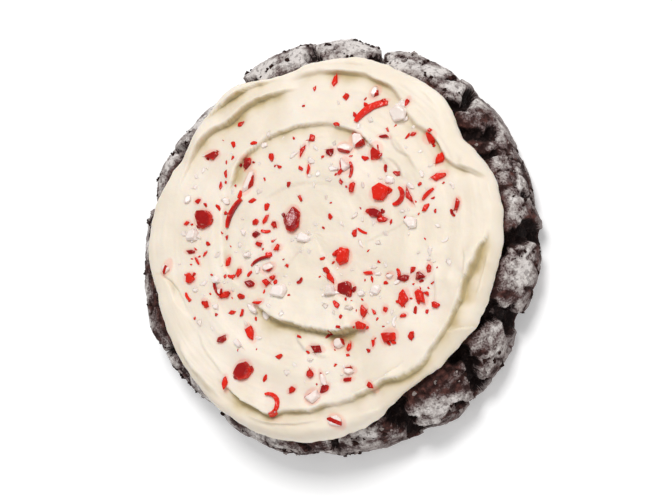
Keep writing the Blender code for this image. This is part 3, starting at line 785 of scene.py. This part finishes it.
def curl_mesh(length, width, thickness, bend, rng):
    """A curled strip of hard candy, its back towards +X."""
    bm = bmesh.new()
    radius = length / math.radians(bend)
    chamfer = CURL_CHAMFER * min(width, thickness)
    outline = [(width / 2 - chamfer, -thickness / 2), (width / 2, chamfer - thickness / 2),
               (width / 2, thickness / 2 - chamfer), (width / 2 - chamfer, thickness / 2)]
    outline += [(-across, rise) for across, rise in reversed(outline)]
    rings = []
    for step in range(CURL_STEPS + 1):
        share = step / CURL_STEPS
        turn = math.radians(bend * (share - 0.5))
        narrow = CURL_TIP + (1 - CURL_TIP) * math.sin(math.pi * share) ** 0.5
        narrow *= rng.uniform(*UNEVEN)
        ring = []
        for across, rise in outline:
            reach = radius + across * narrow
            x = reach * math.cos(turn) - radius * CURL_CENTRE
            ring.append(bm.verts.new((x, reach * math.sin(turn), rise)))
        rings.append(ring)
    for low, high in zip(rings, rings[1:]):
        for index in range(len(outline)):
            after = (index + 1) % len(outline)
            bm.faces.new((low[index], low[after], high[after], high[index]))
    bm.faces.new(rings[0][::-1])
    bm.faces.new(rings[-1])
    bmesh.ops.recalc_face_normals(bm, faces=bm.faces)
    bm.verts.index_update()
    return bm


def bit_place(x, y, rise, turn, tilt, rng):
    """Matrix that lays a bit on the frosting."""
    height = frosting_height(np.array([x]), np.array([y]))[0] + rise
    lean = Matrix.Rotation(math.radians(rng.uniform(-tilt, tilt)), 4, "X")
    lean = lean @ Matrix.Rotation(math.radians(rng.uniform(-tilt, tilt)), 4, "Y")
    return Matrix.Translation((x, y, height)) @ lean @ Matrix.Rotation(math.radians(turn), 4, "Z")


def rim_share(local):
    """How far out each point of a bit lies, 0 at its middle and 1 at its rim."""
    reach = np.abs(local[:, :2]).max(axis=0)
    return np.clip(np.hypot(local[:, 0] / reach[0], local[:, 1] / reach[1]), 0, 1)


def tone_rule(look, rng):
    """Values for a bit of one plain colour: how bright it is, lighter towards its rim as painted glow."""
    tone = rng.uniform(*TONES[look])
    return {"tone": lambda local: tone + PAINTED_RIM_GLOW * smooth(rim_share(local) * 3 - 2)}


def stripe_rule(look, length, width):
    """Values for a striped bit: the place across its stripes."""
    start, end = STRIPES[look]
    axis, size = (0, length) if look == "ends" else (1, width)
    return {"stripe": lambda local: start + (end - start) * (local[:, axis] / size + 0.5)}


def free_place(placed, reach, rng):
    """A place where no other bit lies, more often near a larger bit than out in the open."""
    while True:
        home = rng.choice(BITS)
        x, y = rng.gauss(home.x, CLUSTER_REACH), rng.gauss(home.y, CLUSTER_REACH)
        if rng.random() > CLUSTER_SHARE:
            radius = FLECK_FIELD * math.sqrt(rng.random())
            turn = rng.uniform(0, 2 * math.pi)
            x, y = radius * math.cos(turn), radius * math.sin(turn) + FIELD_SHIFT
        if math.hypot(x, y) > FLECK_FIELD:
            continue
        if all(math.dist((x, y), other[:2]) > other[2] + reach for other in placed):
            placed.append((x, y, reach))
            return x, y


def add_splinters(kinds, bit, rng):
    """Splinters broken off a bit, lying along its rim."""
    for _ in range(SPLINTERS):
        way = rng.uniform(0, 2 * math.pi)
        x = bit.x + SPLINTER_REACH * bit.length * math.cos(way)
        y = bit.y + SPLINTER_REACH * bit.width * math.sin(way)
        length = bit.width * rng.uniform(*SPLINTER_LENGTH)
        width = length * rng.uniform(*SPLINTER_WIDTH)
        bm = shard_mesh(length, width, SPLINTER_THICKNESS * width, rng)
        place = bit_place(x, y, SPLINTER_RISE * width, rng.uniform(0, 360), SPLINTER_TILT, rng)
        add_mesh(kinds[bit.look], bm, place, tone_rule(bit.look, rng))


def add_bit(kinds, bit, rng):
    """One bit that stands out, with splinters broken off the larger ones."""
    thickness = max(BIT_THICKNESS * bit.width, LEAST_THICKNESS)
    if bit.look in THICK_LOOKS:
        thickness *= THICKER
    bm = shard_mesh(bit.length, bit.width, thickness, rng)
    place = bit_place(bit.x, bit.y, thickness * (0.5 - BIT_SUNK), bit.turn, BIT_TILT, rng)
    striped = bit.look in STRIPES
    values = stripe_rule(bit.look, bit.length, bit.width) if striped else tone_rule(bit.look, rng)
    add_mesh(kinds[bit.look], bm, place, values)
    if not striped and bit.width >= SPLINTERED_WIDTH:
        add_splinters(kinds, bit, rng)


def add_curl(kinds, curl, rng):
    """One curled strip that stands out."""
    bm = curl_mesh(curl.length, curl.width, CURL_THICKNESS, curl.bend, rng)
    place = bit_place(curl.x, curl.y, CURL_THICKNESS * (0.5 - BIT_SUNK), curl.turn, CURL_TILT, rng)
    add_mesh(kinds[curl.look], bm, place, tone_rule(curl.look, rng), DRAPE)


def add_sliver(kinds, placed, rng):
    """One small curled strip at a random place."""
    length = rng.uniform(*SLIVER_LENGTH)
    width = rng.uniform(*SLIVER_WIDTH)
    x, y = free_place(placed, length / 4, rng)
    look = rng.choice(SLIVER_LOOKS)
    bm = curl_mesh(length, width, SLIVER_THICKNESS, rng.uniform(*SLIVER_BEND), rng)
    place = bit_place(x, y, SLIVER_RISE, rng.uniform(0, 360), SLIVER_TILT, rng)
    add_mesh(kinds[look], bm, place, tone_rule(look, rng), DRAPE)


def add_fleck(kinds, placed, clear, rng):
    """One small fleck, or one clear chip, at a random place."""
    shortest, longest = CHIP_LENGTH if clear else FLECK_LENGTH
    length = shortest + (longest - shortest) * rng.random() ** SMALL_CROWDING
    x, y = free_place(placed, length / 2, rng)
    look = "clear" if clear else rng.choice(FLECK_LOOKS)
    width = length * rng.uniform(*FLECK_WIDTH)
    bm = shard_mesh(length, width, FLECK_THICKNESS * width, rng)
    rise = width * (CHIP_RISE if clear else FLECK_RISE)
    place = bit_place(x, y, rise, rng.uniform(0, 360), FLECK_TILT, rng)
    add_mesh(kinds[look], bm, place, tone_rule(look, rng))


def make_candy(rng):
    """Red, white and striped candy: the bits that stand out, then the small ones."""
    red, white, striped = [], [], []
    kinds = {"dark": red, "red": red, "white": white, "clear": white}
    kinds.update({look: striped for look in STRIPES})
    for bit in BITS:
        add_bit(kinds, bit, rng)
    for curl in CURLS:
        add_curl(kinds, curl, rng)
    placed = [(bit.x, bit.y, bit.width / 2) for bit in BITS]
    for _ in range(SLIVERS):
        add_sliver(kinds, placed, rng)
    for index in range(CHIPS + FLECKS):
        add_fleck(kinds, placed, index < CHIPS, rng)
    named = {"candy_red": red, "candy_white": white, "candy_striped": striped}
    return [join_parts(name, parts) for name, parts in named.items()]


def make_crumbs(crust, rng):
    """Crumbs caught along the lips of the cracks."""
    points = crust.data.vertices
    hollow = crust.data.attributes["hollow"].data
    parts = []
    shallowest, deepest = CRUMB_HOLLOW
    smallest, largest = CRUMB_SIZE
    while len(parts) < CRUMBS:
        index = rng.randrange(len(points))
        place = points[index].co / MM
        inside = math.hypot(place.x, place.y) < CRUMB_INNERMOST
        if not shallowest < hollow[index].value < deepest or place.z < CRUMB_LOWEST or inside:
            continue
        size = smallest + (largest - smallest) * rng.random() ** CRUMB_CROWDING
        bm = bmesh.new()
        bmesh.ops.create_icosphere(bm, subdivisions=2, radius=size / 2)
        shift = Vector((rng.uniform(0, 50), 0, 0))
        for vert in bm.verts:
            vert.co *= 1 + CRUMB_ROUGHENING * noise.noise(vert.co / (CRUMB_LUMP * size) + shift)
        pale = rng.random()
        add_mesh(parts, bm, Matrix.Translation(place), {"pale": lambda local: np.full(len(local), pale)})
    return join_parts("crumbs", parts)


def principled(name, roughness, specular):
    """A new material, its node tree and its Principled shader."""
    material = bpy.data.materials.new(name)
    material.use_nodes = True
    shader = material.node_tree.nodes["Principled BSDF"]
    shader.inputs["Roughness"].default_value = roughness
    shader.inputs["Specular IOR Level"].default_value = specular
    return material, material.node_tree, shader


def let_light_in(shader, weight, radius, scale):
    """Let light into a surface, its scale in millimetres."""
    shader.inputs["Subsurface Weight"].default_value = weight
    shader.inputs["Subsurface Radius"].default_value = radius
    shader.inputs["Subsurface Scale"].default_value = scale * MM


def field(tree, label):
    """The value that a mesh carries under a name."""
    node = tree.nodes.new("ShaderNodeAttribute")
    node.attribute_name = label
    return node.outputs["Fac"]


def speckle(tree, size, detail=2.0):
    """Noise texture on the object's own coordinates, with lumps of a size in millimetres."""
    place = tree.nodes.new("ShaderNodeTexCoord")
    texture = tree.nodes.new("ShaderNodeTexNoise")
    texture.inputs["Scale"].default_value = 1 / (size * MM)
    texture.inputs["Detail"].default_value = detail
    tree.links.new(place.outputs["Object"], texture.inputs["Vector"])
    return texture.outputs["Fac"]


def math_node(tree, operation, first, second):
    """Result of an operation on two sockets or numbers."""
    node = tree.nodes.new("ShaderNodeMath")
    node.operation = operation
    for socket, value in zip(node.inputs, (first, second)):
        if isinstance(value, (int, float)):
            socket.default_value = value
        else:
            tree.links.new(value, socket)
    return node.outputs[0]


def times(tree, first, second):
    """Product of two sockets or numbers."""
    return math_node(tree, "MULTIPLY", first, second)


def plus(tree, first, second):
    """Sum of two sockets or numbers."""
    return math_node(tree, "ADD", first, second)


def ramp(tree, value, low, high):
    """Value eased from 0 at low to 1 at high."""
    node = tree.nodes.new("ShaderNodeMapRange")
    node.interpolation_type = "SMOOTHSTEP"
    node.inputs["From Min"].default_value = low
    node.inputs["From Max"].default_value = high
    tree.links.new(value, node.inputs["Value"])
    return node.outputs["Result"]


def linear(colour):
    """Linear colour of a screen colour from 0 to 255."""
    shares = [level / 255 for level in colour]
    return [((share + 0.055) / 1.055) ** 2.4 if share > 0.04 else share / 12.92 for share in shares]


def mix(tree, share, first, second):
    """Colour mixed from two screen colours or sockets."""
    node = tree.nodes.new("ShaderNodeMix")
    node.data_type = "RGBA"
    tree.links.new(share, node.inputs["Factor"])
    for socket, value in ((node.inputs["A"], first), (node.inputs["B"], second)):
        if isinstance(value, tuple):
            socket.default_value = (*linear(value), 1.0)
        else:
            tree.links.new(value, socket)
    return node.outputs["Result"]


def bump(tree, shader, height, distance):
    """Bump from a height socket, its distance in millimetres."""
    node = tree.nodes.new("ShaderNodeBump")
    node.inputs["Distance"].default_value = distance * MM
    tree.links.new(height, node.inputs["Height"])
    tree.links.new(node.outputs["Normal"], shader.inputs["Normal"])


def crust_material():
    """Dark chocolate crust with powdered sugar caught on its plates, and painted shade down in its
    cracks.
    """
    material, tree, shader = principled("chocolate crust", roughness=0.85, specular=0.2)
    sugar = field(tree, "sugar")
    hollow = field(tree, "hollow")
    wall = field(tree, "wall")
    mottle = speckle(tree, 1.3, 4.0)
    grain = speckle(tree, 0.4, 3.0)
    chocolate = mix(tree, ramp(tree, mottle, 0.4, 0.65), *CHOCOLATE)
    # Painted shade: the crust turns near black down into the cracks and along the crackle
    chocolate = mix(tree, ramp(tree, hollow, 0.1, 0.75), chocolate, CRACK_SHADE_COLOUR)
    fine = times(tree, plus(tree, grain, -0.5), 0.9)
    coarse = times(tree, plus(tree, mottle, -0.5), 1.1)
    loose = times(tree, plus(tree, fine, coarse), ramp(tree, sugar, -0.15, 0.4))
    loose = times(tree, loose, plus(tree, times(tree, wall, -0.5), 1.0))
    level = plus(tree, plus(tree, sugar, loose), times(tree, wall, -0.06))
    dusting = mix(tree, ramp(tree, grain, 0.35, 0.65), *THIN_SUGAR)
    dusting = mix(tree, times(tree, wall, 0.7), dusting, WALL_SUGAR)
    colour = mix(tree, ramp(tree, level, 0.02, 0.3), chocolate, dusting)
    powder = mix(tree, ramp(tree, level, 0.45, 1.0), *THICK_SUGAR)
    colour = mix(tree, ramp(tree, level, 0.32, 0.5), colour, powder)
    pits = times(tree, ramp(tree, speckle(tree, 0.9, 6.0), 0.47, 0.38), 0.5)
    colour = mix(tree, pits, colour, PIT_COLOUR)
    tree.links.new(colour, shader.inputs["Base Color"])
    bump(tree, shader, plus(tree, grain, mottle), 0.4)
    return material


def frosting_material():
    """Cream frosting: soft satin, a little translucent, with painted shade, darker and yellower, in its
    creases.
    """
    material, tree, shader = principled("cream frosting", roughness=0.5, specular=0.35)
    crease_shade = field(tree, "crease_shade")
    drift = speckle(tree, 13.0, 2.0)
    cream = mix(tree, ramp(tree, drift, 0.35, 0.65), *CREAM)
    # Painted shade: the cream turns darker and yellower towards the foot of each lip and stroke
    cream = mix(tree, ramp(tree, crease_shade, 0.0, 0.85), cream, CREASE_SHADE_COLOUR)
    stain = times(tree, field(tree, "stain"), 0.32)
    colour = mix(tree, stain, cream, STAIN_COLOUR)
    tree.links.new(colour, shader.inputs["Base Color"])
    let_light_in(shader, 0.45, (1.0, 0.75, 0.45), 1.2)
    bump(tree, shader, speckle(tree, 0.8, 2.0), 0.04)
    return material


def candy_material(name, colour_of):
    """Hard glossy candy whose colour comes from a function of the node tree."""
    material, tree, shader = principled(name, roughness=0.2, specular=0.35)
    tree.links.new(colour_of(tree), shader.inputs["Base Color"])
    bump(tree, shader, speckle(tree, 0.7, 2.0), 0.12)
    let_light_in(shader, 0.15, (1.0, 0.6, 0.6), 0.6)
    return material


def cloudy_tone(tree):
    """How bright a bit is, with clouds in it."""
    return plus(tree, field(tree, "tone"), times(tree, speckle(tree, 1.5), 0.4))


def red_colour(tree):
    """Reds from deep to bright, cloudy inside, with pinkish patches of painted highlight."""
    red = mix(tree, ramp(tree, cloudy_tone(tree), 0.1, 1.3), *RED)
    # Painted highlights: pinkish patches scattered over the red
    highlight_patches = times(tree, ramp(tree, speckle(tree, 0.9, 3.0), 0.58, 0.72), 0.35)
    return mix(tree, highlight_patches, red, HIGHLIGHT_PINK)


def white_colour(tree):
    """Whites from a little grey to a warm pinkish white."""
    return mix(tree, ramp(tree, cloudy_tone(tree), 0.3, 1.2), *WHITE)


def striped_colour(tree):
    """White with red stripes."""
    across = plus(tree, field(tree, "stripe"), times(tree, speckle(tree, 0.8), 0.12))
    stripe = math_node(tree, "FRACT", across, 0.0)
    red = mix(tree, speckle(tree, 1.2), *STRIPE_RED)
    return mix(tree, ramp(tree, stripe, 0.36, 0.42), red, STRIPE_WHITE)


def crumb_material():
    """Chocolate crumbs, some of them sugared."""
    material, tree, shader = principled("crumbs", roughness=0.9, specular=0.2)
    colour = mix(tree, ramp(tree, field(tree, "pale"), 0.6, 0.95), *CRUMB_COLOURS)
    tree.links.new(colour, shader.inputs["Base Color"])
    return material


def add_light(light):
    """Soft square light aimed at the cookie."""
    area = bpy.data.lights.new(light.name, "AREA")
    area.shape = "SQUARE"
    area.size = light.size
    area.energy = light.power
    item = new_object(light.name, area)
    item.location = light.place
    item.rotation_euler = (-Vector(light.place)).to_track_quat("-Z", "Y").to_euler()


def set_stage():
    """Pale floor, soft light from the top of the picture, bright surroundings."""
    bpy.ops.mesh.primitive_plane_add(size=FLOOR_SIZE)
    floor = bpy.context.object
    floor.name = "floor"
    material, _, shader = principled("floor", roughness=0.9, specular=0.1)
    shader.inputs["Base Color"].default_value = (FLOOR_SHADE, FLOOR_SHADE, FLOOR_SHADE, 1.0)
    shader.inputs["Emission Color"].default_value = (1.0, 1.0, 1.0, 1.0)
    shader.inputs["Emission Strength"].default_value = FLOOR_GLOW
    floor.data.materials.append(material)
    for light in LIGHTS:
        add_light(light)
    world = bpy.data.worlds.new("studio")
    world.use_nodes = True
    background = world.node_tree.nodes["Background"]
    background.inputs["Color"].default_value = (1.0, 1.0, 1.0, 1.0)
    background.inputs["Strength"].default_value = SURROUNDINGS
    bpy.context.scene.world = world
    bpy.context.scene.view_settings.view_transform = "Standard"


def set_camera():
    """Camera looking down on the cookie as the photograph does, with +Y up in the picture."""
    tilt = math.radians(VIEW_TILT)
    side = math.radians(VIEW_SIDE)
    back = Vector((math.sin(tilt) * math.cos(side), math.sin(tilt) * math.sin(side), math.cos(tilt)))
    aim = Vector(VIEW_AIM) * MM
    up = (Vector((0, 1, 0)) - back * back.y).normalized()
    right = up.cross(back)
    camera = bpy.data.cameras.new("camera")
    camera.lens = VIEW_LENS
    item = new_object("camera", camera)
    turn = Matrix((right, up, back)).transposed().to_4x4()
    item.matrix_world = Matrix.Translation(aim + back * VIEW_DISTANCE * MM) @ turn
    bpy.context.scene.camera = item


def dress(piece, node, material):
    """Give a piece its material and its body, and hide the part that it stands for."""
    piece.data.materials.append(material)
    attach(piece, "root")
    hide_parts(node)


draws = random.Random(SEED)
crust = make_crust()
candy_red, candy_white, candy_striped = make_candy(draws)
dress(crust, "cookie", crust_material())
dress(make_crumbs(crust, draws), "cookie", crumb_material())
dress(make_frosting(), "frosting", frosting_material())
dress(candy_red, "frosting", candy_material("red candy", red_colour))
dress(candy_white, "frosting", candy_material("white candy", white_colour))
dress(candy_striped, "frosting", candy_material("striped candy", striped_colour))
set_stage()
set_camera()
